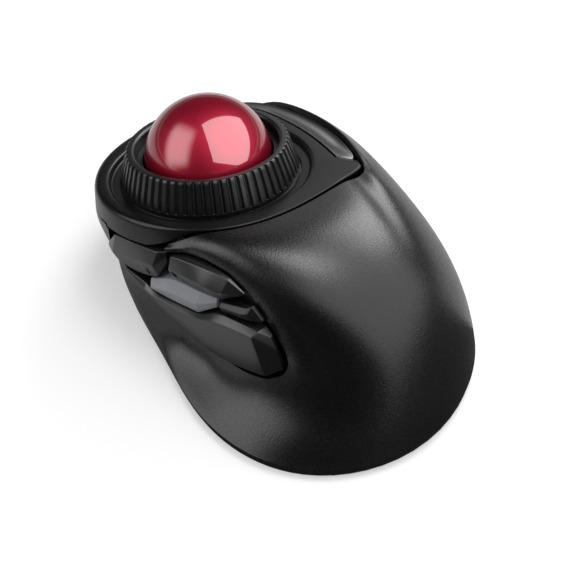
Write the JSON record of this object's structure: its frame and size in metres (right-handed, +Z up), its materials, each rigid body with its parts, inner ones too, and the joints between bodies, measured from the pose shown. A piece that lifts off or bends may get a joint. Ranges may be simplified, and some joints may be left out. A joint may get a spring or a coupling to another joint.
{
  "type": "trackball mouse",
  "caption": "Right-handed wireless trackball mouse: finger-driven ball in a ribbed scroll ring on a sloping deck, tall palm rest behind it and thumb keys on the left wall.",
  "frame": {"origin": "middle of the footprint on the desk", "axes": "+Z up from the desk, +Y forward from the palm to the ball, +X to the right"},
  "size_m": [0.1008, 0.145, 0.066],
  "materials": {
    "shell_charcoal": "fine matt grain",
    "bezel_satin": "satin",
    "key_satin": "satin",
    "key_grey": "satin",
    "trim_black": "semi-gloss",
    "base_black": "matt",
    "ring_black": "satin",
    "ball_red": "polished",
    "ball_core": "plain",
    "cup_black": "matt",
    "bead_white": "polished",
    "glide_white": "low friction",
    "lens_clear": "clear",
    "board_green": "solder mask",
    "chip_black": "moulded",
    "steel": "plated",
    "battery_wrap": "printed film, plain",
    "foot_rubber": "matt"
  },
  "bodies": {
    "housing": {"palm_shell": "shell_charcoal", "deck_bezel": "bezel_satin", "base_plate": "base_black", "feet": "foot_rubber", "ring_glide": "glide_white", "ball_cup": "cup_black", "bearing_beads": "bead_white", "sensor_lens": "lens_clear", "ball_sensor": "chip_black", "sensor_board": "board_green", "ring_sensor": "chip_black", "ring_board": "board_green", "right_button_pin": "steel", "right_switch": "chip_black", "right_switch_board": "board_green", "thumb_panel": "cup_black", "label_plate": "trim_black", "thumb_board": "board_green", "thumb_switches": "chip_black", "main_board": "board_green", "radio_chip": "chip_black", "power_switch_body": "steel", "battery_tray": "cup_black", "battery": "battery_wrap", "battery_contact_plus": "steel", "battery_contact_minus": "steel", "receiver_cap": "base_black", "receiver_plug": "steel", "case_screws": "steel", "cup_screws": "steel", "board_screws": "steel"},
    "scroll_ring": {"scroll_ring": "ring_black", "ring_encoder_track": "steel"},
    "ball_core": {"ball_core": "ball_core"},
    "ball_shell": {"ball_shell": "ball_red"},
    "right_button": {"right_button": "bezel_satin"},
    "left_button": {"left_button": "key_satin"},
    "forward_button": {"forward_button": "key_satin"},
    "back_button": {"back_button": "key_satin"},
    "dpi_button": {"dpi_button": "key_grey"},
    "power_knob": {"power_knob": "key_grey"},
    "battery_door": {"battery_door": "base_black"}
  },
  "joints": [
    {"name": "ball_roll", "type": "hinge", "parent": "housing", "child": "ball_core", "pos_m": [-0.01249, 0.02945, 0.046], "axis": [1, 0, 0], "continuous": true},
    {"name": "ball_tilt", "type": "hinge", "parent": "ball_core", "child": "ball_shell", "pos_m": [-0.01249, 0.02945, 0.046], "axis": [0, 1, 0], "continuous": true},
    {"name": "ring_spin", "type": "hinge", "parent": "housing", "child": "scroll_ring", "pos_m": [-0.01249, 0.02945, 0.046], "axis": [0.017, 0.2334, 0.9722], "continuous": true},
    {"name": "right_click", "type": "hinge", "parent": "housing", "child": "right_button", "pos_m": [0.02502, 0.01426, 0.04046], "axis": [-0.9413, 0.3315, -0.0632], "range_deg": [0, 1], "stiffness_Nm_per_rad": 1.5},
    {"name": "left_click", "type": "slide", "parent": "housing", "child": "left_button", "axis": [0.9336, 0.3584, 0], "range_m": [0, 0.0008], "stiffness_N_per_m": 600},
    {"name": "forward_press", "type": "slide", "parent": "housing", "child": "forward_button", "axis": [0.9336, 0.3584, 0], "range_m": [0, 0.0008], "stiffness_N_per_m": 600},
    {"name": "back_press", "type": "slide", "parent": "housing", "child": "back_button", "axis": [0.9336, 0.3584, 0], "range_m": [0, 0.0008], "stiffness_N_per_m": 600},
    {"name": "speed_press", "type": "slide", "parent": "housing", "child": "dpi_button", "axis": [0.9336, 0.3584, 0], "range_m": [0, 0.0008], "stiffness_N_per_m": 600},
    {"name": "power_slide", "type": "slide", "parent": "housing", "child": "power_knob", "axis": [1, 0, 0], "range_m": [0, 0.003]},
    {"name": "door_slide", "type": "slide", "parent": "housing", "child": "battery_door", "axis": [0, -1, 0], "range_m": [0, 0.048]}
  ]
}
